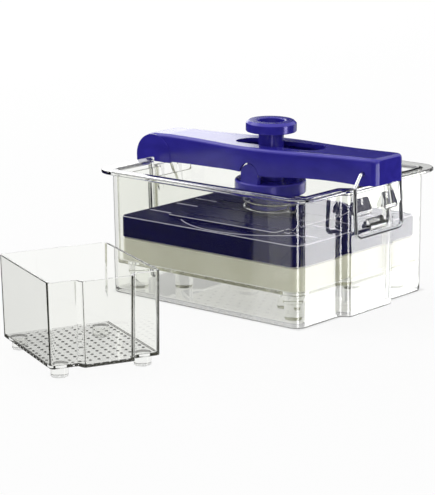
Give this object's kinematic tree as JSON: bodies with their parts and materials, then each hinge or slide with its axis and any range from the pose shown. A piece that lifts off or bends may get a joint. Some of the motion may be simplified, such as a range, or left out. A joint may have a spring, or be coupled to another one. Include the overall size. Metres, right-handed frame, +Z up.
{
  "type": "tofu press",
  "caption": "Clear tub with a hinged pressing lever, wire latch, spring-loaded presser, press plate and drain basket, with a small perforated basket beside it.",
  "frame": {"origin": "centre of the tub's flat underside, on the surface that the press and the small basket stand on", "axes": "+X along the lever toward its latch end, +Y away from the small basket, +Z up"},
  "size_m": [0.2004, 0.3086, 0.114],
  "materials": {
    "clear_plastic": "clear moulded plastic, glossy",
    "blue_plastic": "indigo blue moulded plastic, satin",
    "plate_blue": "dark blue moulded plastic, satin",
    "chrome_steel": "bright stainless wire and pins",
    "soy_curd": "soft cream-coloured curd"
  },
  "bodies": {
    "tub": {"outer_tub": "clear_plastic", "hinge_pin": "chrome_steel", "hinge_clip_near": "chrome_steel", "hinge_clip_far": "chrome_steel"},
    "basket": {"pressing_basket": "clear_plastic", "tofu_block": "soy_curd"},
    "plate": {"press_plate": "plate_blue"},
    "lever": {"lever": "blue_plastic", "presser_pin_near": "chrome_steel", "presser_pin_far": "chrome_steel"},
    "bail": {"latch_bail": "chrome_steel"},
    "presser": {"presser_cup": "blue_plastic", "spring_washer": "chrome_steel", "coil_spring": "chrome_steel"},
    "shoe": {"pressure_shoe": "blue_plastic", "shoe_screw": "chrome_steel"},
    "knob": {"knob_stem": "blue_plastic", "knob": "blue_plastic", "knob_screw": "chrome_steel"},
    "small_basket": {"small_basket": "clear_plastic"}
  },
  "joints": [
    {"name": "lever_hinge", "type": "hinge", "parent": "tub", "child": "lever", "pos_m": [-0.0895, 0, 0.0815], "axis": [0, -1, 0], "range_deg": [0, 90]},
    {"name": "bail_swing", "type": "hinge", "parent": "lever", "child": "bail", "pos_m": [0.0886, 0, 0.0904], "axis": [0, -1, 0], "range_deg": [-4.6, 100]},
    {"name": "presser_tilt", "type": "hinge", "parent": "lever", "child": "presser", "pos_m": [0.003, 0, 0.0807], "axis": [0, 1, 0], "range_deg": [0, 11.5]},
    {"name": "shoe_slide", "type": "slide", "parent": "presser", "child": "shoe", "axis": [0.0262, 0, 0.9997], "range_m": [0, 0.003], "stiffness_N_per_m": 400, "springref_m": -0.02, "deforming": ["coil_spring"]},
    {"name": "knob_turn", "type": "hinge", "parent": "shoe", "child": "knob", "pos_m": [0.003, 0, 0.0807], "axis": [0.0262, 0, 0.9997], "continuous": true},
    {"name": "basket_lift", "type": "slide", "parent": "tub", "child": "basket", "axis": [0, 0, 1], "range_m": [0, 0.016]},
    {"name": "plate_lift", "type": "slide", "parent": "basket", "child": "plate", "axis": [0, 0, 1], "range_m": [0, 0.02]},
    {"name": "small_basket_lift", "type": "slide", "parent": "tub", "child": "small_basket", "axis": [0, 0, 1], "range_m": [0, 0.12]}
  ],
  "couplings": [
    {"joint": "presser_tilt", "follows": "lever_hinge", "ratio": 0.12},
    {"joint": "basket_lift", "follows": "lever_hinge", "m_per_rad": 0.0101},
    {"joint": "plate_lift", "follows": "lever_hinge", "m_per_rad": 0.0127}
  ]
}
